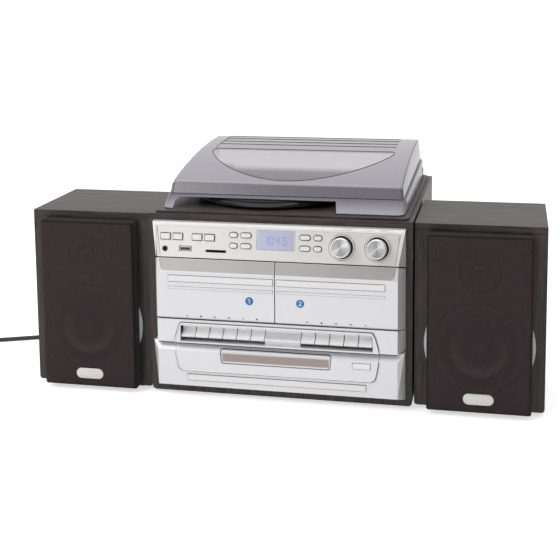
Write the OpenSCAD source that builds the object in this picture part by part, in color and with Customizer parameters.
// Stereo music centre: a wood-effect cabinet with a record deck on top, a silver front
// with two cassette decks, a disc tray and a radio, and two separate loudspeakers.
// Millimetres, Z up, the front faces -Y. The origin is under the middle of the set.
// Heights inside the modules count from the cabinet's underside and depths from its
// front edge; seat() carries them to the frame of the whole set.

/* [Cabinet] */
// Width of the main cabinet
body_w = 340; // [332:1:360]
// Height of the main cabinet without its feet
body_h = 236; // [234:1:245]
// Depth of the main cabinet
body_d = 325; // [322:1:345]
// Thickness of the cabinet's boards
board = 8; // [7:0.5:9]
// Height of the rubber feet under the cabinet
foot_h = 4; // [3:0.5:8]
// Diameter of a rubber foot
foot_d = 26; // [18:1:34]
// Distance from the cabinet's edges to the middle of a foot
foot_inset = 30; // [20:1:45]
// Clearance between parts that are fitted into each other
fit = 0.3; // [0.2:0.05:0.5]

/* [Front panel] */
// How far the front face stands out in front of the cabinet
face_out = 22.5; // [20:0.5:26]
// Wall thickness of the silver front mouldings
skin = 2.6; // [2:0.2:3.2]
// Width of the bevel at each side of the front
bevel = 8; // [6:0.5:10]
// Height of the joint between the control panel and the doors, on the face
panel_z = 183; // [180:0.5:186]
// How far the control panel's top edge stands out
brow_out = 9.5; // [8:0.5:12]
// How far the control panel's bottom edge stands out
chin_out = 17; // [15:0.5:19]
// Height where the doors' slanting band meets their upright face
fold_z = 165.5; // [162:0.5:170]
// Height of the doors' lower edge
door_z = 104.3; // [102:0.5:106]
// Height of the disc section's top edge
ledge_z = 73; // [71:0.5:75]
// How far the disc section's top edge stands out
ledge_out = 14; // [12:0.5:17]
// Width of the gap between neighbouring front mouldings
seam = 1.3; // [0.8:0.1:1.6]

/* [Controls] */
// Radius of the two rotary knobs
knob_r = 14; // [12:0.5:15.5]
// Length of the knobs in front of the panel
knob_len = 15; // [11:0.5:18]
// Distance of the tuning knob from the middle
tuning_from_mid = 83.5; // [82:0.5:88]
// Distance of the volume knob from the middle
volume_from_mid = 128; // [122:0.5:130]
// Height of the knobs' axes
knob_z = 204; // [202:0.5:206]
// Radius of the knobs' shafts
shaft_r = 3; // [2.5:0.1:3.5]
// Running clearance of shafts and pins
run = 0.06; // [0.03:0.01:0.1]
// Dark gap round the push buttons
button_gap = 0.7; // [0.4:0.1:0.9]
// How far the push buttons stand out of the panel
button_out = 2; // [1.8:0.1:2.6]
// Height of the function keys' middle
function_z = 209.5; // [207:0.5:212]
// Radius of the headphone bore
phone_r = 1.8; // [1.75:0.05:1.9]
// Half the width of the display
lcd_half = 20.7; // [18:0.1:24]
// Height of the display
lcd_h = 21; // [18:0.5:23]

/* [Cassette keys] */
// Width of one key with its gap
key_pitch = 18.2; // [17.6:0.1:18.4]
// Gap between two keys
key_gap = 1.2; // [0.8:0.1:1.4]
// Half the width of the whole row of keys
row_half = 123.2; // [122:0.2:126]

/* [Disc tray] */
// Width of the tray's front
tray_w = 140; // [134:1:142]
// Height of the tray's front
tray_h = 17; // [15:0.5:18]
// Height of the tray front's lower edge
tray_z = 49.8; // [48:0.2:51]
// Travel of the tray
tray_travel = 132; // [120:1:136]

/* [Record deck] */
// Distance of the platter's axis from the middle, to the left
platter_x = 32; // [28:1:36]
// Distance of the platter's axis from the cabinet's front edge
platter_y = 132; // [128:1:138]
// Radius of the platter
platter_r = 107; // [100:1:110]
// Radius of the spindle
spindle_r = 3.55; // [3.5:0.05:3.6]
// Length of the tonearm in front of its pivot
arm_len = 196; // [190:1:200]

/* [Dust cover] */
// How far the cover's lower edge stands inside the cabinet's sides
cover_inset = 8; // [7:0.5:10]
// Wall thickness of the cover
cover_wall = 2.4; // [2:0.2:3]
// Height of the cover above the cabinet at the back
cover_h = 58.5; // [54:0.5:64]
// Radius of the round window in the cover
window_r = 124; // [118:1:128]
// Radius of the hinge pins
hinge_r = 2.4; // [2:0.1:2.6]

/* [Loudspeakers] */
// Width of a loudspeaker
speaker_w = 160; // [156:1:170]
// Height of a loudspeaker without its feet
speaker_h = 233; // [228:1:240]
// Depth of a loudspeaker
speaker_d = 145; // [130:1:180]
// Gap between a loudspeaker and the cabinet
speaker_gap = 2; // [1.5:0.5:12]
// How far the loudspeakers' fronts stand behind the cabinet's
speaker_back = 6; // [2:1:12]
// Height of the loudspeakers' feet
speaker_foot = 5; // [3:0.5:8]
// Width of the grille
grille_w = 128; // [124:1:134]
// How far the grille stands out
grille_out = 20; // [14:1:24]
// Radius of the silver ring round the woofer
ring_r = 68; // [66:0.5:70]
// Height of the woofer's axis above the loudspeaker's underside
woofer_z = 82; // [80:1:86]
// Height of the tweeter's axis above the loudspeaker's underside
tweeter_z = 179; // [174:1:184]

/* [Mains lead] */
// Diameter of the mains lead
cord_d = 6.5; // [6:0.1:7]
// Distance of the outer turn from the coil's axis
coil_r = 43; // [40:0.5:46]
// Step from one turn of the coil to the next
coil_step = 7.2; // [7:0.1:8]
// Turns of the lower layer, wound inwards
coil_turns = 2.5; // [1.5:0.5:3]

/* [Hidden] */
$fn = 64;

// Colours of the finishes
wood_col = [0.30, 0.25, 0.25];
silver_col = [0.84, 0.84, 0.86];
black_col = [0.10, 0.10, 0.11];
smoke_col = [0.62, 0.60, 0.66, 0.75];
steel_col = [0.70, 0.71, 0.73];

// Main levels and half widths
half_w = body_w / 2;
mouth = half_w - board;
roof_z = body_h - board;
inner = mouth - fit;
face_half = mouth - bevel;
split_fall = 4.5;
brow_z = roof_z - 1.5;
ledge_fold_z = ledge_z - 9.6;
base_z = board + 8.5;

// Places along the front keep their share of its width
function spread(x) = x * face_half / 154;
tuning_x = spread(tuning_from_mid);
volume_x = spread(volume_from_mid);

// Control face: its lean, and the point on it at a given height
lean = atan((chin_out - brow_out) / (brow_z - panel_z));
function face_y(z) = -brow_out - (brow_z - z) * tan(lean);

// The whole set is centred from the knobs' front edge to the cabinet's back edge
knob_reach = -face_y(knob_z) + knob_len * cos(lean) + knob_r * sin(lean);
front_y = -(body_d - knob_reach) / 2;

// Cassette doors
door_axis_in = 3.8;
door_axis_y = -face_out + door_axis_in;
door_axis_z = door_z + door_axis_in;
door_pin_r = 1.3;
door_mid = mouth / 2 - 4;
cassette_w = 100.4;
bay_y = 2;

// Cassette keys
key_top = ledge_z + 22.7;
key_low = ledge_z + 7.4;
key_axis_y = 12;
key_axis_z = key_top - 4;
key_rod_r = 1.5;
left_keys = 6;
right_keys = 5;

// Disc section
disc_r = 60.4;
tray_plate_w = 128;
tray_depth = tray_travel + 14;
button_x = spread(109.4);
button_w = 22;
button_h = 6.8;
button_z = tray_z + 6.9;

// Record deck
deck_t = 2.4;
deck_z = body_h + deck_t;
belt_z = deck_z + 0.8;
deck_half = half_w - 5.6;
deck_front = 5;
deck_back = body_d - 4;
pan_half_x = half_w - 32;
pan_front = 22;
pan_back = body_d - 30;
platter_z = deck_z + 2.4;
platter_t = 6.6;
mat_t = 2;
mat_z = platter_z + platter_t;
hub_r = 60;
pulley_r = 6;
motor_x = -platter_x - 46;
motor_y = platter_y + 74;
arm_x = mouth - 36;
arm_y = body_d - 72;
arm_z = deck_z + 20.2;

// Dust cover
cover_half = half_w - cover_inset;
rest_z = deck_z + 0.4;
cover_front = 5;
cover_back = body_d - 13;
cover_ledge_z = body_h + 21;
cover_top = body_h + cover_h;
upper_half = cover_half - 7.5;
upper_taper = 3;
hinge_y = body_d - 7.5;
hinge_z = body_h + 9;
hinge_x = cover_half - 10;

// Loudspeakers
speaker_x = half_w + speaker_gap + speaker_w / 2;
speaker_wall = 9;
speaker_lift = speaker_foot - foot_h;

// Mains lead: its way from the gland to the coil, chosen by hand
gland_x = -110;
gland_z = 30;
gland_len = 34;
gland_end = [gland_x, front_y + body_d + gland_len, gland_z + foot_h];
cord_z = cord_d / 2;
route = [gland_end, gland_end + [0, 10, 0], [-111, 240, 31], [-114, 256, 24], [-120, 272, 14],
    [-129, 286, 6], [-142, 297, cord_z], [-160, 303, cord_z], [-180, 301, cord_z],
    [-199, 291, cord_z], [-215, 276, cord_z], [-229, 256, cord_z], [-242, 234, cord_z],
    [-255, 211, cord_z], [-268, 188, cord_z], [-281, 165, cord_z], [-294, 142, cord_z],
    [-307, 120, cord_z], [-321, 98, cord_z], [-337, 76, cord_z], [-356, 57, cord_z],
    [-378, 41, cord_z], [-402, 28, cord_z], [-427, 17, cord_z], [-452, 6.5, cord_z],
    [-476, -3.5, cord_z], [-498, -12.5, cord_z]];
coil_at = route[len(route) - 1];
coil_in = (coil_at - route[len(route) - 2]) / norm(coil_at - route[len(route) - 2]);
coil_way = atan2(coil_in[1], coil_in[0]);
coil_from = coil_at + coil_in * (cord_d + 0.5);
coil_c = coil_from + coil_r * [cos(coil_way - 90), sin(coil_way - 90), 0];
coil_out_turns = coil_turns - 0.17;
plug_len = 37;
plug_z = 6.4;

// Places cabinet coordinates in the frame of the whole set
module seat() translate([0, front_y, foot_h]) children();

// A profile in Y and Z, drawn out along X from x0 to x1
module along_x(x0, x1) translate([x0, 0, 0]) rotate([90, 0, 90])
    linear_extrude(x1 - x0) children();

// An outline in X and Z, drawn out along Y from y0 to y1
module along_y(y0, y1) translate([0, y1, 0]) rotate([90, 0, 0])
    linear_extrude(y1 - y0) children();

// A cylinder along X between two places
module pin_x(x0, x1, r) translate([x0, 0, 0]) rotate([0, 90, 0]) cylinder(h = x1 - x0, r = r);

module round_rect(w, h, r) offset(r) offset(-r) square([w, h], center = true);

// Local Z points out of the control face at its point x, z; local Y points up along it
module on_face(x, z) translate([x, face_y(z), z]) rotate([90 - lean, 0, 0]) children();

// A closed body through rings of points, all with the same count
module loft(rings) {
    n = len(rings[0]);
    m = len(rings);
    points = [for (ring = rings) each ring];
    sides = [for (i = [0 : m - 2], j = [0 : n - 1])
        each [[i * n + j, (i + 1) * n + j, i * n + (j + 1) % n],
            [i * n + (j + 1) % n, (i + 1) * n + j, (i + 1) * n + (j + 1) % n]]];
    caps = concat([for (j = [1 : n - 2]) [0, j, j + 1]],
        [for (j = [1 : n - 2]) [(m - 1) * n, (m - 1) * n + j + 1, (m - 1) * n + j]]);
    polyhedron(points = points, faces = concat(sides, caps));
}

function unit(v) = v / norm(v);
function cross_z(t) = unit([t[1], -t[0], 0]);

// A ring of the lead's skin round point p, square to direction t, flat side down
function cord_ring(p, t, r, n) = let (side = cross_z(t), rise = cross(side, t))
    [for (k = [0 : n - 1]) let (a = 360 * (k + (n == 6 ? 0 : 0.5)) / n)
        p + r * 1.04 * (side * cos(a) - rise * sin(a))];

function tangent(p, i) = unit(p[min(i + 1, len(p) - 1)] - p[max(i - 1, 0)]);

module tube(p, r, n) loft([for (i = [0 : len(p) - 1]) cord_ring(p[i], tangent(p, i), r, n)]);

module cabinet() color(wood_col) seat() difference() {
    along_y(0, body_d) difference() {
        hull() {
            translate([-half_w, 40]) square([body_w, body_h - 40]);
            for (s = [-1, 1]) translate([s * (half_w - 5), 5]) circle(5);
        }
        translate([-mouth, board]) square([2 * mouth, roof_z - board]);
    }
    // Cut-out of the top board for the record deck's pan
    translate([-pan_half_x - 1, pan_front - 1, roof_z - 1])
        cube([2 * pan_half_x + 2, pan_back - pan_front + 2, board + 2]);
}

module rubber_feet() color(black_col) {
    seat() for (s = [-1, 1], y = [foot_inset, body_d - foot_inset])
        translate([s * (half_w - foot_inset), y, -foot_h]) cylinder(h = foot_h, d = foot_d);
    translate([0, front_y, 0])
        for (s = [-1, 1], t = [-1, 1], y = [18, speaker_d - 18])
            translate([s * speaker_x + t * (speaker_w / 2 - 20), speaker_back + y, 0])
                cylinder(h = speaker_foot, d = 14);
}

// Hardboard back with vents, a terminal plate for the loudspeakers and line sockets
module rear_panel() color(black_col) seat() difference() {
    union() {
        translate([-inner, body_d - 4, board + fit])
            cube([2 * inner, 3, roof_z - board - 2 * fit]);
        translate([40, body_d - 4, 120]) cube([100, 3.8, 44]);
    }
    for (i = [0 : 8]) translate([-120 + i * 9, body_d - 10, 150]) cube([4, 20, 46]);
    for (i = [0 : 3]) translate([56 + i * 13, body_d - 10, 142]) rotate([-90, 0, 0])
        cylinder(h = 20, r = 3.4);
    for (i = [0 : 1]) translate([116, body_d - 10, 132 + i * 18]) rotate([-90, 0, 0])
        cylinder(h = 20, r = 4.2);
    translate([gland_x, body_d - 10, gland_z]) rotate([-90, 0, 0]) cylinder(h = 20, r = 6.5);
}

// Rings of a front moulding: the rim in the cabinet's mouth, the rim's front and the face
function rim(half, y, z0, z1) = [[-half, y, z0], [half, y, z0], [half, y, z1], [-half, y, z1]];

module control_block(t) loft([
    rim(inner - t, 6 + t, panel_z - split_fall + seam / 2 + t, roof_z - fit - t),
    [[-inner + t, -0.5, panel_z - split_fall + seam / 2 + t],
        [inner - t, -0.5, panel_z - split_fall + seam / 2 + t],
        [inner - t, -brow_out - 0.8 + t, roof_z - fit - t],
        [-inner + t, -brow_out - 0.8 + t, roof_z - fit - t]],
    [[-face_half + t, -chin_out + t, panel_z + seam / 2 + t],
        [face_half - t, -chin_out + t, panel_z + seam / 2 + t],
        [face_half + 4.7 - t, -brow_out + t, brow_z - 2.4 - t],
        [-face_half - 4.7 + t, -brow_out + t, brow_z - 2.4 - t]]]);

// The control panel: a hollow leaning moulding with holes for everything that it carries
module control_panel() color(silver_col) seat() difference() {
    union() {
        difference() {
            control_block(0);
            difference() {
                control_block(skin);
                translate([-mouth, -40, 0]) cube([2 * mouth, 40 - brow_out + 2, panel_z - 40]);
            }
        }
        for (x = [tuning_x, volume_x]) on_face(x, knob_z) difference() {
            translate([0, 0, -skin - 4]) cylinder(h = skin + 5.4, r = knob_r + 3);
            cylinder(h = 3, r = knob_r + 1.6);
        }
        on_face(face_half - 6, brow_z - 10) translate([-5.4, -1.8, -0.5]) cube([10.8, 3.6, 1.1]);
    }
    for (x = [tuning_x, volume_x]) on_face(x, knob_z)
        translate([0, 0, -20]) cylinder(h = 30, r = shaft_r + run);
    for (k = [0 : 3]) on_face(function_x(k), function_z)
        translate([0, 0, -8]) linear_extrude(20) square([function_w + 2 * button_gap, 7 + 2 * button_gap], center = true);
    for (k = [0 : 7]) on_face(button_at(k)[0], button_at(k)[1])
        translate([0, 0, -8]) linear_extrude(20) pill(button_at(k)[2] + 2 * button_gap, 5.3 + 2 * button_gap);
    on_face(0, lcd_z) translate([0, 0, -8]) linear_extrude(20)
        round_rect(2 * lcd_half + 8, lcd_h + 4, 1);
    on_face(phone_x, phone_z) translate([0, 0, -8]) cylinder(h = 20, r = phone_out + 0.1);
    on_face(usb_x, usb_z) translate([0, 0, -8]) linear_extrude(20)
        square([usb_w, usb_h], center = true);
    on_face(card_x, card_z) translate([0, 0, -8]) linear_extrude(20)
        square([card_w, card_h], center = true);
}

// Places and sizes on the control face
function_w = 11.6;
function function_x(k) = spread([-143.7, -127.4, -102, -85.6][k]);
function button_at(k) = [spread([-54.3, -38.3, 37.3, 53.5][k % 4]), k < 4 ? 214 : 200.6,
    [9.4, 12.8, 12.6, 9.4][k % 4]];
lcd_z = 209;
phone_x = spread(-144.2);
phone_z = 193.8;
phone_out = 3.6;
usb_x = spread(-117.2);
usb_z = 194.8;
usb_w = 16.6;
usb_h = 7;
card_x = spread(-77);
card_z = 192.8;
card_w = 27;
card_h = 3.4;

module pill(w, h) {
    square([w - h, h], center = true);
    for (s = [-1, 1]) translate([s * (w - h) / 2, 0]) circle(d = h);
}

// The display: a glass block behind a pale frame, held in its window
module display_window() color([0.78, 0.80, 0.92]) seat() on_face(0, lcd_z) {
    translate([0, 0, -5]) linear_extrude(5.2) square([2 * lcd_half, lcd_h], center = true);
    translate([0, 0, -5]) linear_extrude(4.6) round_rect(2 * lcd_half + 7.6, lcd_h + 3.6, 1);
}

// Headphone jack, USB receptacle and card reader, each fixed behind the panel
module front_sockets() color(black_col) seat() {
    on_face(phone_x, phone_z) difference() {
        union() {
            translate([0, 0, -4]) cylinder(h = 4.3, r = phone_out);
            translate([-5, -5.5, -15]) cube([10, 11, 11.5]);
        }
        translate([0, 0, -14]) cylinder(h = 20, r = phone_r);
    }
    on_face(usb_x, usb_z) {
        difference() {
            translate([-usb_w / 2 + 0.15, -usb_h / 2 + 0.15, -16])
                cube([usb_w - 0.3, usb_h - 0.3, 15.8]);
            translate([-6.3, -2.5, -14]) cube([12.6, 5, 20]);
        }
        translate([-5.8, -0.4, -14.5]) cube([11.6, 1.8, 12]);
    }
    on_face(card_x, card_z) difference() {
        translate([-card_w / 2 + 0.15, -card_h / 2 + 0.15, -24])
            cube([card_w - 0.3, card_h - 0.3, 23.6]);
        translate([-12.2, -1.15, -22]) cube([24.4, 2.3, 30]);
    }
}

// A push button: its cap, and a flange that keeps it behind the panel
module push_cap(w, h, corner) {
    translate([0, 0, -skin - 3]) linear_extrude(skin + 3 + button_out)
        if (corner > 0) pill(w, h); else square([w, h], center = true);
    translate([0, 0, -skin - 3]) linear_extrude(1.6) square([w + 3, h + 3], center = true);
}

module function_key(k) color(silver_col) seat() on_face(function_x(k), function_z)
    push_cap(function_w, 7, 0);
module small_button(k) color(silver_col) seat() on_face(button_at(k)[0], button_at(k)[1])
    push_cap(button_at(k)[2], 5.3, 1);

// A rotary knob with its shaft
module knob(x) color(steel_col) seat() on_face(x, knob_z) rotate_extrude() polygon([
    [0, -22], [shaft_r, -22], [shaft_r, 1.6], [knob_r - 0.6, 1.6], [knob_r, 2.4],
    [knob_r, knob_len - 1.2], [knob_r - 1.2, knob_len - 0.2], [knob_r - 2, knob_len],
    [knob_r - 3, knob_len - 0.6], [0, knob_len - 0.6]]);

// The doors' profile: the lower front corner is round about the hinge's axis
door_profile = concat([[-seam, panel_z - split_fall - seam / 2], [-seam, door_z - split_fall + 0.6],
        [door_axis_y + 4, door_z]],
    [for (a = [270 : -15 : 180]) [door_axis_y + door_axis_in * cos(a),
        door_axis_z + door_axis_in * sin(a)]],
    [[-face_out, fold_z], [-chin_out - 0.6, panel_z - seam / 2]]);

// The same profile flattened to the door's outer edge, where it meets the cabinet
door_edge = [for (q = door_profile) [-seam - 0.3 + q[0] * 0.03, q[1] < door_z + 6
    ? max(q[1] - split_fall + 0.6, door_z - split_fall + 0.6) : min(q[1], panel_z - split_fall - seam / 2)]];
function at_x(x, p) = [for (q = p) [x, q[0], q[1]]];

// Places of the doors' hinges, from the middle outwards
hinge_spots = [20, face_half - 20];

// A cassette door: silver front with a slanting top band, raised bars and, inside,
// the holder that a cassette drops into from above when the door leans forward
module cassette_door() {
    difference() {
        union() {
            loft([at_x(inner, door_edge), at_x(face_half, door_profile), at_x(seam / 2, door_profile)]);
            translate([2.6, -face_out - 1, fold_z - 12]) cube([face_half - 18.4, 2, 7.8]);
            translate([2.6, -face_out - 0.6, fold_z - 21.6]) cube([face_half - 18.4, 2, 3]);
        }
        along_x(seam / 2 + skin, face_half - skin) polygon([[5, panel_z + 5], [5, door_z - 10],
            [door_axis_y + 2.2, door_z - 10], [door_axis_y + 2.2, door_axis_z + 2.4],
            [-face_out + skin, door_axis_z + 5], [-face_out + skin, fold_z],
            [-chin_out + skin - 0.4, panel_z - 1], [-chin_out + skin - 0.4, panel_z + 5]]);
        for (x = hinge_spots) {
            translate([0, door_axis_y, door_axis_z]) pin_x(x - 3.4, x + 3.4, door_pin_r + 1.5);
            translate([x - 3.4, door_axis_y, door_z - 2]) cube([6.8, 22, 14]);
        }
    }
    for (s = [-1, 1]) {
        edge = door_mid + s * (cassette_w / 2 + 1);
        translate([edge - (s < 0 ? 2 : 0), -face_out + 1, door_z + 7]) cube([2, 20.5, 56]);
        translate([edge - (s > 0 ? 8 : 1), -face_out + 1, door_z + 7]) cube([9, 20.5, 2]);
        translate([edge - (s > 0 ? 4 : 0), -3, door_z + 7]) cube([4, 2, 56]);
        translate([door_mid + s * 34 - 1, -face_out + 1, door_z + 12]) cube([2, 7, 52]);
    }
    for (x = hinge_spots) translate([x, door_axis_y, door_axis_z]) {
        pin_x(-4.4, 4.4, door_pin_r);
        for (s = [-1, 1]) translate([s * 4.4 - 1, -1.5, -1.5]) cube([2, 3, 3]);
    }
}

module cassette_door_left() color(silver_col) seat() mirror([1, 0, 0]) cassette_door();
module cassette_door_right() color(silver_col) seat() cassette_door();

// The tape deck's inner frame: back plate, spindles, heads, hinge eyes and key rod
module cassette_bay() color(black_col) seat() {
    difference() {
        translate([-inner, bay_y, door_z - 3]) cube([2 * inner, 3, panel_z - split_fall - door_z + 2]);
        for (s = [-1, 1]) translate([s * door_mid - 52, 0, fold_z + 2]) cube([104, 10, 6]);
    }
    for (s = [-1, 1]) {
        for (t = [-1, 1]) translate([s * door_mid + t * 21.25, bay_y + 1, door_z + 43])
            rotate([90, 0, 0]) {
                cylinder(h = 12, r = 2.6);
                cylinder(h = 3, r = 5);
                for (a = [0, 120, 240]) rotate(a) translate([0, -0.5, 6]) cube([4.2, 1, 5]);
            }
        translate([s * door_mid - 8, -10, door_z + 8]) cube([16, 13, 10]);
        translate([s * door_mid + 22, -9, door_z + 8]) cube([7, 12, 8]);
        translate([s * door_mid - 29, -9, door_z + 8]) cube([7, 12, 8]);
        translate([s * door_mid - 55, bay_y + 2.9, door_z]) cube([110, 34, 62]);
        for (x = hinge_spots) difference() {
            union() {
                translate([s * x, door_axis_y, door_axis_z]) pin_x(-1.9, 1.9, door_pin_r + 1);
                translate([s * x - 1.9, door_axis_y, door_axis_z - door_pin_r - 1])
                    cube([3.8, bay_y + 0.5 - door_axis_y, 2.2]);
            }
            translate([s * x, door_axis_y, door_axis_z]) pin_x(-5, 5, door_pin_r + run);
        }
    }
    translate([0, key_axis_y, key_axis_z]) pin_x(-row_half - 3.4, row_half + 3.4, key_rod_r);
    for (x = [-row_half - 3.2, row_half + 0.2, 3]) {
        translate([x, 6.4, key_axis_z - 5]) cube([3, key_axis_y - 2.4, door_z - key_axis_z + 6]);
        translate([x, bay_y, door_z - 2.5]) cube([3, 6, 3.5]);
    }
}

// A key's hollow front, from its top edge down to the lip
key_front = concat([[-13, key_top], [-13.4, key_top - 2.5]],
    [for (a = [0 : 15 : 75]) [-13.4 - 7.2 * (1 - cos(a)), key_top - 4 - 7 * sin(a)]],
    [[-21, key_low + 3.2], [-22, key_low + 2.2], [-22, key_low + 0.5], [-21.4, key_low]]);

// A key's side: its front, and the arm back to the rod that it turns on
key_side = concat(key_front, [[-17, key_low], [-10, key_low + 3],
        [-8, key_axis_z - 3.4], [key_axis_y, key_axis_z - 3.4], [key_axis_y, key_axis_z + 3.4],
        [-6, key_axis_z + 3.4], [-8, key_top]]);

module key(i) color(silver_col) seat() {
    x = i <= left_keys ? -row_half + (i - 1) * key_pitch
        : row_half - (left_keys + right_keys + 1 - i) * key_pitch;
    difference() {
        union() {
            along_x(x + key_gap / 2, x + key_pitch - key_gap / 2) polygon(key_side);
            translate([x + 5, key_axis_y, key_axis_z]) pin_x(0, 8, 3.4);
        }
        translate([x, key_axis_y, key_axis_z]) pin_x(-1, key_pitch + 1, key_rod_r + run);
        translate([x - 1, 3, key_axis_z - 10]) cube([6, 20, 20]);
        translate([x + 13, 3, key_axis_z - 10]) cube([6, 20, 20]);
    }
}

// Outline of the raised pad that carries the keys and the tray
module pad_outline() offset(4) offset(-4) polygon(concat(
    [for (p = [[123.6, 99.5], [130.3, 79], [130, 62], [126.3, 42], [122.6, 37.6]]) p],
    [for (p = [[122.6, 37.6], [126.3, 42], [130, 62], [130.3, 79], [123.6, 99.5]]) [-p[0], p[1]]]));

module key_block(t) loft([
    rim(inner - t, 6 + t, ledge_z + seam / 2 + t, door_z - split_fall - seam / 2 - t),
    rim(inner - t, 0, ledge_z + seam / 2 + t, door_z - split_fall - seam / 2 - t),
    rim(face_half, -face_out + t, ledge_z + seam / 2 + t, door_z - seam / 2 - t)]);

// The silver moulding round the cassette keys, with the blank stretch between the decks
module key_panel() color(silver_col) seat() {
    key_left = -row_half + left_keys * key_pitch;
    key_right = row_half - right_keys * key_pitch;
    difference() {
        union() {
            key_block(0);
            intersection() {
                along_y(-face_out - 1.6, -face_out + 2) pad_outline();
                translate([-half_w, -50, ledge_z + seam / 2]) cube([body_w, 60, 40]);
            }
        }
        translate([-face_half + 4, -face_out + skin, ledge_z + 2.4])
            cube([2 * face_half - 8, 40, key_top - ledge_z - 1.2]);
        translate([-row_half - 0.4, -40, ledge_z + 2.6])
            cube([2 * row_half + 0.8, 30, key_top - ledge_z - 1.8]);
    }
    along_x(key_left + 0.3, key_right - 0.3) polygon(concat(key_front,
        [[-19, key_low], [-19, ledge_z + 2.2], [-8, ledge_z + 2.2], [-8, key_top + 1.4],
            [-13, key_top + 1.4]]));
}

module cd_block(t) loft([
    rim(inner - t, 6 - t, board + fit + t, ledge_z - seam / 2 - t),
    [[-inner + t, 0, board + fit + t], [inner - t, 0, board + fit + t],
        [inner - t, -ledge_out + t, ledge_z - seam / 2 - t],
        [-inner + t, -ledge_out + t, ledge_z - seam / 2 - t]],
    rim(face_half - t, -face_out + t, base_z + t, ledge_fold_z - t)]);

// The disc section's silver moulding, with the tray's mouth and a raised bar
module cd_fascia() color(silver_col) seat() difference() {
    union() {
        difference() {
            cd_block(0);
            cd_block(skin);
        }
        intersection() {
            along_y(-face_out - 1.6, -face_out + 2) pad_outline();
            translate([-half_w, -50, 0]) cube([body_w, 60, ledge_fold_z]);
        }
        intersection() {
            along_y(-face_out - 1.6, -8) pad_outline();
            along_x(-half_w, half_w) polygon([[-ledge_out - 1, ledge_z - seam / 2],
                [-face_out - 1.6, ledge_fold_z], [-face_out + 2, ledge_fold_z - 2],
                [-ledge_out + 2, ledge_z - seam / 2]]);
        }
        translate([-114.9, -face_out - 1.2, 24.4]) cube([2 * 114.9, 3, 7.6]);
    }
    along_y(-40, 20) tray_outline(1);
    translate([button_x, 0, button_z]) along_y(-40, 20) round_rect(button_w + 2 * button_gap, button_h + 2 * button_gap, 1.2);
}

module cd_open_button() color(silver_col) seat() translate([button_x, 0, button_z]) {
    along_y(-face_out - 2.4, -face_out + skin + 2) round_rect(button_w, button_h, 1);
    along_y(-face_out + skin + 1.4, -face_out + skin + 3) square([button_w + 4, button_h + 3], center = true);
}

// The tray's front is a little narrower at its lower edge
module tray_outline(t) offset(2.6 + t) offset(-2.6) polygon([[-tray_w / 2 + 0.8, tray_z],
    [tray_w / 2 - 0.8, tray_z], [tray_w / 2 + 1, tray_z + tray_h], [-tray_w / 2 - 1, tray_z + tray_h]]);

// The disc tray: front, plate and the round well for a disc
module cd_tray() color(black_col) seat() difference() {
    union() {
        along_y(-face_out - 0.8, -face_out + 2.6) tray_outline(0);
        translate([-tray_w / 2 + 3, -face_out - 0.4, tray_z + tray_h - 3.4])
            cube([tray_w - 6, 4.6, 3]);
        translate([-tray_plate_w / 2, -face_out + 2, tray_z + 2.6]) cube([tray_plate_w, tray_depth, 6.4]);
    }
    translate([0, 52, tray_z + 6.4]) cylinder(h = 8, r = disc_r);
    translate([0, 52, tray_z]) cylinder(h = 12, r = 20);
    translate([-20, 52, tray_z]) cube([40, 42, 12]);
    translate([0, tray_depth - face_out - 10, tray_z + 6.4]) cylinder(h = 8, r = 20);
}

// The disc drive's housing that the tray slides in
module cd_mechanism() color(steel_col) seat() difference() {
    translate([-tray_plate_w / 2 - 6, 6.5, tray_z - 6]) cube([tray_plate_w + 12, 166, 22]);
    translate([-tray_plate_w / 2 - fit, -10, tray_z + 2.6 - fit]) cube([tray_plate_w + 2 * fit, 172, 8.4]);
    translate([-52, -10, tray_z - 3]) cube([104, 172, 15.5]);
}

module power_transformer() color(steel_col) seat() translate([-inner + 41.7, body_d - 96, board]) {
    cube([70, 50, 4]);
    translate([6, 6, 3.9]) cube([58, 38, 44]);
    translate([12, -2, 10]) cube([46, 54, 32]);
}

// The deck plate on the cabinet's top, with a hollow pan below it for the drive
module turntable_deck() color(wood_col) seat() difference() {
    union() {
        translate([0, (deck_front + deck_back) / 2, body_h]) linear_extrude(deck_t)
            round_rect(2 * deck_half, deck_back - deck_front, 9);
        translate([-pan_half_x, pan_front, body_h - 26])
            cube([2 * pan_half_x, pan_back - pan_front, 27]);
    }
    difference() {
        translate([-pan_half_x + 3, pan_front + 3, body_h - 40])
            cube([2 * pan_half_x - 6, pan_back - pan_front - 6, 40 - 1]);
        translate([-platter_x, platter_y, body_h - 26]) cylinder(h = 40, r = 12);
        translate([motor_x, motor_y, body_h - 4]) cylinder(h = 10, r = 22);
        translate([arm_x, arm_y, body_h - 8]) cylinder(h = 20, r = 14);
    }
    translate([-platter_x, platter_y, body_h - 60]) cylinder(h = 90, r = spindle_r + 1 + run);
    translate([motor_x, motor_y, body_h - 60]) cylinder(h = 90, r = pulley_r + 1);
    translate([arm_x, arm_y, body_h - 60]) cylinder(h = 90, r = 4 + run);
    translate([speed_x - 10, speed_y - 1.4, body_h - 30]) cube([20, 2.8, 60]);
}
speed_x = arm_x - 22;
speed_y = 44;

module platter_motor() color(steel_col) seat() translate([motor_x, motor_y, body_h - 34]) {
    cylinder(h = 30, r = 17);
    cylinder(h = 34 + deck_t + 1.6, r = 1);
}

module motor_pulley() color([0.75, 0.6, 0.3]) seat() translate([motor_x, motor_y, deck_z])
    difference() {
        rotate_extrude() polygon([[0, -3], [4, -3], [4, 0.3], [pulley_r + 0.8, 0.3],
            [pulley_r + 0.8, 0.5], [pulley_r, 0.8], [pulley_r, 1.6], [pulley_r + 0.8, 1.9],
            [pulley_r + 0.8, 2.1], [0, 2.1]]);
        translate([0, 0, -5]) cylinder(h = 6.9, r = 1 + run);
    }

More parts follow.
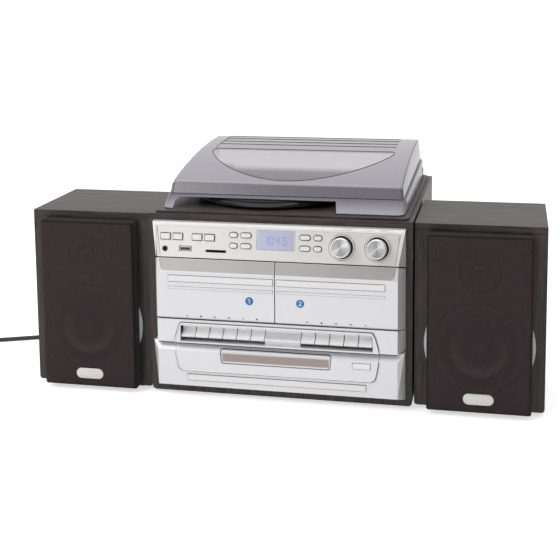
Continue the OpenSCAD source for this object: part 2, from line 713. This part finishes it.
// The belt runs round the pulley's neck and the platter's drive ring
module drive_belt() color(black_col) seat() translate([0, 0, belt_z]) linear_extrude(0.7)
    difference() {
        belt_line(1);
        belt_line(0.3);
    }
module belt_line(t) hull() {
    translate([-platter_x, platter_y]) circle(hub_r + t);
    translate([motor_x, motor_y]) circle(pulley_r + t);
}

// The platter: rim, web, drive ring underneath, and the spindle in its bearing
module platter() color([0.2, 0.19, 0.2]) seat() translate([-platter_x, platter_y, 0])
    rotate_extrude($fn = 128) polygon([[0, body_h - 24], [spindle_r + 1, body_h - 24],
        [spindle_r + 1, platter_z], [hub_r - 3, platter_z], [hub_r - 3, platter_z - 1.6],
        [hub_r, platter_z - 1.6], [hub_r, platter_z], [platter_r - 9, platter_z],
        [platter_r - 2, platter_z], [platter_r, platter_z + 2], [platter_r, mat_z - 1],
        [platter_r - 1, mat_z], [platter_r - 5, mat_z], [platter_r - 6, mat_z - 1.6],
        [spindle_r + 0.2, mat_z - 1.6], [spindle_r + 0.2, mat_z + 2.05], [spindle_r, mat_z + 2.05],
        [spindle_r, mat_z + 12],
        [spindle_r - 2.4, mat_z + 14.6], [0, mat_z + 15]]);

module platter_mat() color(black_col) seat() translate([-platter_x, platter_y, mat_z - 1.55])
    difference() {
        cylinder(h = mat_t + 1.4, r = platter_r - 6.4, $fn = 128);
        translate([0, 0, -1]) cylinder(h = 10, r = spindle_r + 0.4);
        for (r = [34 : 12 : 94]) translate([0, 0, mat_t + 0.9]) rotate_extrude()
            translate([r, 0]) square([2.4, 3]);
    }

// Arm base on the deck, and the post that the arm rests on
module tonearm_base() color(black_col) seat() {
    translate([arm_x, arm_y, deck_z]) difference() {
        union() {
            cylinder(h = 2.4, r = 15);
            cylinder(h = 12, r = 11.4);
        }
        translate([0, 0, -1]) cylinder(h = 20, r = 4 + run);
    }
    translate([arm_x, arm_y - 120, deck_z]) {
        cylinder(h = arm_z - deck_z - 5, r = 3.5);
        translate([-5.5, -3.5, arm_z - deck_z - 5]) cube([11, 7, 2]);
    }
}

// The part that turns with the arm: a post in the base and a fork for the lifting axis
module tonearm_pivot() color(black_col) seat() translate([arm_x, arm_y, 0]) {
    translate([0, 0, body_h - 20]) cylinder(h = deck_z + 12.6 - body_h + 20, r = 4);
    difference() {
        translate([0, 0, deck_z + 12.3]) cylinder(h = arm_z - deck_z - 6.3, r = 11);
        translate([-6.2, -20, arm_z - 5]) cube([12.4, 40, 20]);
        translate([0, 0, arm_z]) pin_x(-20, 20, 1.5 + run);
    }
}

// The arm: tube, headshell with cartridge and stylus, counterweight and lifting axle
module tonearm() color(silver_col) seat() translate([arm_x, arm_y, arm_z]) {
    pin_x(-10.6, 10.6, 1.5);
    translate([-5.8, -7, -3.2]) cube([11.6, 14, 6.4]);
    rotate([90, 0, 0]) cylinder(h = arm_len - 20, r = 2.6);
    rotate([-90, 0, 0]) cylinder(h = 24, r = 2.4);
    translate([0, 13, 0]) rotate([-90, 0, 0]) cylinder(h = 13, r = 8);
    translate([-8, -arm_len, -2.4]) cube([16, 26, 4.6]);
    translate([-6, -arm_len + 3, -5.6]) cube([12, 18, 3.3]);
    translate([0, -arm_len + 6, -7.2]) cylinder(h = 2, r1 = 0.6, r2 = 1.6);
    translate([7.5, -arm_len + 2, -0.8]) cube([8, 3, 1.6]);
}

module speed_switch() color(black_col) seat() translate([speed_x - 5.5, speed_y, 0]) {
    translate([-4, -1.1, body_h - 4]) cube([8, 2.2, 9]);
    translate([-5, -3, deck_z + 0.3]) cube([10, 6, 3.4]);
}

// Height of the cover's top at a given depth: a shallow arc, from the front fold up
function cover_line(u) = cover_ledge_z + 15 + (cover_top - cover_ledge_z - 15) * sin(90 * min(1, u * 1.12));
function cover_profile(t) = concat(
    [[cover_front + 8 + t, cover_ledge_z - 4], [cover_front + 17 + t, cover_ledge_z + 15 - t * 0.8]],
    [for (k = [1 : 9]) let (u = k / 9) [cover_front + 17 + (body_d - 79) * u, cover_line(u) - t]],
    [[cover_back - 8 - t * 1.3, cover_ledge_z + 8 - t * 0.3], [cover_back - 8 - t * 1.3, cover_ledge_z - 4]]);

module cover_upper(t) intersection() {
    along_x(-cover_half, cover_half) polygon(cover_profile(t));
    along_y(0, body_d) polygon([[-upper_half + t, cover_ledge_z - 10],
        [upper_half - t, cover_ledge_z - 10], [upper_half - t, cover_ledge_z],
        [upper_half - upper_taper - t, cover_top + 2], [-upper_half + upper_taper + t, cover_top + 2],
        [-upper_half + t, cover_ledge_z]]);
}

module cover_skirt(t) hull() {
    translate([0, (cover_front + cover_back) / 2, rest_z - (t > 0 ? 1 : 0)]) linear_extrude(0.6)
        round_rect(2 * (cover_half - t), cover_back - cover_front - 2 * t, 10);
    translate([0, 0, 0]) multmatrix([[1, 0, 0, 0], [0, 1, 0, 0], [0, 0.027, 1, 0], [0, 0, 0, 1]])
        translate([0, (cover_front + cover_back) / 2 + 1, cover_ledge_z - t - 0.7]) linear_extrude(0.6)
            round_rect(2 * (cover_half - 3.6 - t), cover_back - cover_front - 13 - 2 * t, 8);
}

// The smoked dust cover: skirt, ledge and domed top, with mouths at the front and the
// left for a full-size record, a ridge round the clear window, and hinge ears
module dust_cover() color(smoke_col) seat() difference() {
    union() {
        difference() {
            union() {
                cover_skirt(0);
                cover_upper(0);
            }
            cover_skirt(cover_wall);
            cover_upper(cover_wall);
        }
        for (s = [-1, 1]) translate([s * (hinge_x - 10.5) - 4, cover_back - 2.4, hinge_z - 5])
            cube([8, hinge_y - cover_back + 2.4, 10]);
        for (s = [-1, 1]) translate([s * (hinge_x - 10.5), hinge_y, hinge_z]) pin_x(-4, 4, 5);
    }
    for (s = [-1, 1]) translate([s * (hinge_x - 10.5), hinge_y, hinge_z]) pin_x(-9, 9, hinge_r + run);
    along_y(-10, 30) polygon([[-144, rest_z - 5], [77, rest_z - 5], [69, cover_ledge_z - 3.6],
        [-138, cover_ledge_z - 2.6], [-144, cover_ledge_z - 8]]);
    along_x(-cover_half - 10, -cover_half + 12) polygon([[24, rest_z - 5], [250, rest_z - 5],
        [244, cover_ledge_z - 1], [30, cover_ledge_z - 3.6], [24, cover_ledge_z - 8]]);
    for (k = [0 : 3]) translate([-129, 186 + 26.5 * k, cover_line((164 + 26.5 * k) / (body_d - 79)) - 0.9])
        rotate([k < 2 ? 4 : 1, 0, 0]) cube([260, 2, 4]);
    window_groove();
}
window_y = 160;

// A shallow groove in the cover's top round its window
module window_groove() intersection() {
    difference() {
        cover_upper(-1);
        cover_upper(0.9);
    }
    linear_extrude(400) difference() {
        window_outline(1.2);
        window_outline(0);
    }
}
module window_outline(t) offset(5 + t) offset(-5) intersection() {
    translate([0, window_y]) circle(window_r, $fn = 96);
    translate([-200, 0]) square([400, window_y + 10]);
}

// Hinge blocks on the deck with their pins
module cover_hinges() color(black_col) seat() for (s = [-1, 1]) translate([s * hinge_x, hinge_y, 0]) {
    translate([-5, -4.6, deck_z]) cube([10, 9.2, hinge_z - deck_z]);
    translate([0, 0, hinge_z]) pin_x(-5, 5, 4.6);
    translate([0, 0, hinge_z]) pin_x(s > 0 ? -15 : 0, s > 0 ? 0 : 15, hinge_r);
}

// One loudspeaker's parts, in its own place
module at_speaker(s) translate([s * speaker_x, front_y + speaker_back, speaker_foot]) children();

module speaker_cabinets() color(wood_col) for (s = [-1, 1]) at_speaker(s) difference() {
    along_y(0, speaker_d) hull() {
        translate([-speaker_w / 2, 30]) square([speaker_w, speaker_h - 30]);
        for (t = [-1, 1]) translate([t * (speaker_w / 2 - 4), 4]) circle(4);
    }
    translate([-speaker_w / 2 + speaker_wall, speaker_wall + 3, speaker_wall])
        cube([speaker_w - 2 * speaker_wall, speaker_d - 2 * speaker_wall - 3, speaker_h - 2 * speaker_wall]);
    translate([-speaker_w / 2 - 1, -1, speaker_h - speaker_wall]) cube([speaker_w + 2, 1.5, 0.6]);
    translate([0, -1, woofer_z]) rotate([-90, 0, 0]) cylinder(h = speaker_wall + 10, r = 47);
    translate([0, -1, tweeter_z]) rotate([-90, 0, 0]) cylinder(h = speaker_wall + 10, r = 20);
}

// The grille: a cloth-covered frame that stands out, open at the back
module speaker_grilles() color([0.2, 0.17, 0.18]) for (s = [-1, 1]) at_speaker(s) {
    top = speaker_h - speaker_wall - 0.6;
    difference() {
        loft([rim(grille_w / 2, -0.1, 0.6, top), rim(grille_w / 2, -grille_out * 0.55, 0.6, top),
            rim(grille_w / 2 - 0.8, -grille_out + 1.6, 1, top - 0.8),
            rim(grille_w / 2 - 2.6, -grille_out, 3, top - 2.8)]);
        translate([0, -2.6, woofer_z]) rotate([-90, 0, 0]) cylinder(h = 6, r = ring_r + 0.6);
        translate([-grille_w / 2 + 5, -grille_out + 3, 6]) cube([grille_w - 10, grille_out, top - 12]);
    }
}

// Silver ring on the baffle round the woofer, seen as a crescent at each side of the grille
module woofer_rings() color(silver_col) for (s = [-1, 1]) at_speaker(s)
    translate([0, 0, woofer_z]) rotate([90, 0, 0]) difference() {
        cylinder(h = 2, r = ring_r, $fn = 128);
        translate([0, 0, -1]) cylinder(h = 5, r = 60.3, $fn = 128);
    }

// Woofer and tweeter: frame, surround, cone, dust cap and magnet
module driver(frame_r, cone_r, cap_r, deep) {
    rotate_extrude($fn = 96) polygon([[0, 3.2 - deep * 0.25], [cap_r * 0.7, 3.6 - deep * 0.3],
        [cap_r, 4 - deep * 0.45], [cone_r, 1.6], [cone_r + 2.6, 3.6], [cone_r + 5.2, 1.6],
        [frame_r - 2, 1.6], [frame_r, 0.6], [frame_r, 0], [cone_r + 4, 0], [cone_r + 2, -4],
        [cap_r + 6, -deep], [0, -deep]]);
    translate([0, 0, -deep - 14]) cylinder(h = 15, r = frame_r * 0.55);
}

module speaker_drivers() color(black_col) for (s = [-1, 1]) at_speaker(s) {
    translate([0, 0, woofer_z]) rotate([90, 0, 0]) driver(60, 40, 14, 34);
    translate([0, 0, tweeter_z]) rotate([90, 0, 0]) driver(26.6, 12, 9, 10);
}

// Tapered strain relief in the back panel
module cord_gland() color(black_col) seat() translate([gland_x, body_d - 4.5, gland_z])
    rotate([-90, 0, 0]) rotate_extrude() polygon([[0, 0], [6.4, 0], [6.4, 3.8], [8, 3.8], [8, 6],
        [6, 7], [cord_d / 2 + 1, gland_len + 4.5], [0, gland_len + 4.5]]);

// Halfway between two points of the lead's way, on the curve through their neighbours
function halfway(p, i) = (9 * (p[i] + p[i + 1]) - p[i - 1] - p[i + 2]) / 16;
route_n = len(route);
cord_path = concat([route[0]], [for (i = [1 : route_n - 3]) each [route[i], halfway(route, i)]],
    [route[route_n - 2], route[route_n - 1]]);

module mains_cord() color(black_col) tube(cord_path, cord_d / 2, 8);

// The coil: in turns inwards on the floor, a half turn up, and outwards again on top
coil_a0 = coil_way + 90;
function coil_point(turn) = let (
        back = coil_turns + 0.5,
        r = coil_r - coil_step * min(turn, coil_turns + back - turn),
        lift = turn < coil_turns ? 0 : turn > back ? 1 : (1 - cos(360 * (turn - coil_turns))) / 2,
        a = coil_a0 - 360 * turn)
    [coil_c[0] + r * cos(a), coil_c[1] + r * sin(a), cord_d / 2 + coil_step * lift];
coil_total = coil_turns + 0.5 + coil_out_turns;
coil_steps = ceil(coil_total * 24);
coil_path = [for (i = [0 : coil_steps]) coil_point(coil_total * i / coil_steps)];
coil_end = coil_path[coil_steps];
coil_dir = unit([coil_end[0] - coil_path[coil_steps - 1][0], coil_end[1] - coil_path[coil_steps - 1][1], 0]);
function leaving(along, z) = [coil_end[0], coil_end[1], z] + coil_dir * along;
plug_at = leaving(46, plug_z);
coil_all = concat([coil_at], coil_path, [leaving(14, coil_end[2]), leaving(22, coil_end[2] - 1.2),
    leaving(31, plug_z + 0.6), leaving(38, plug_z), plug_at]);
function gap_at(i, j) = norm(coil_path[i] - coil_path[j]) - cord_d * 1.04;
coil_gap = min([for (i = [0 : coil_steps - 12], j = [i + 12 : coil_steps]) gap_at(i, j)]);
function path_len(p) = len(p) < 2 ? 0 : [for (i = 1, sum = norm(p[1] - p[0]); i < len(p);
    i = i + 1, sum = sum + (i < len(p) ? norm(p[i] - p[i - 1]) : 0)) sum][len(p) - 2];
echo(coil_gap = coil_gap, free_length = path_len(cord_path), coil_length = path_len(coil_all));

module cord_coil() color(black_col) tube(coil_all, cord_d / 2, 6);

module mains_plug() color(black_col) translate(plug_at)
    rotate([0, 0, atan2(coil_dir[1], coil_dir[0])]) {
        rotate([0, 90, 0]) cylinder(h = 16, r1 = cord_d / 2 + 0.8, r2 = 5.4);
        hull() {
            translate([15, -6, -5.4]) cube([1, 12, 10.8]);
            translate([26, -13, -6.2]) cube([1, 26, 12.4]);
            translate([15 + plug_len - 1, -12.4, -6.2]) cube([1, 24.8, 12.4]);
        }
        for (s = [-1, 1]) translate([15 + plug_len - 1, s * 9.3, 0]) rotate([0, 90, 0])
            cylinder(h = 20, r = 2);
    }

cabinet();
rear_panel();
control_panel();
display_window();
front_sockets();
key_panel();
cd_fascia();
cassette_bay();
cd_mechanism();
power_transformer();
turntable_deck();
platter_motor();
drive_belt();
tonearm_base();
cover_hinges();
rubber_feet();
speaker_cabinets();
speaker_grilles();
woofer_rings();
speaker_drivers();
cord_gland();
mains_cord();
cord_coil();
mains_plug();
dust_cover();
platter();
platter_mat();
motor_pulley();
tonearm_pivot();
tonearm();
speed_switch();
knob(volume_x);  // volume_knob
knob(tuning_x);  // tuning_knob
function_key(0);  // function_key_1
function_key(1);  // function_key_2
function_key(2);  // function_key_3
function_key(3);  // function_key_4
small_button(0);  // button_1
small_button(1);  // button_2
small_button(2);  // button_3
small_button(3);  // button_4
small_button(4);  // button_5
small_button(5);  // button_6
small_button(6);  // button_7
small_button(7);  // button_8
cd_open_button();
cassette_door_left();
cassette_door_right();
key(1);  // key_1
key(2);  // key_2
key(3);  // key_3
key(4);  // key_4
key(5);  // key_5
key(6);  // key_6
key(7);  // key_7
key(8);  // key_8
key(9);  // key_9
key(10);  // key_10
key(11);  // key_11
cd_tray();
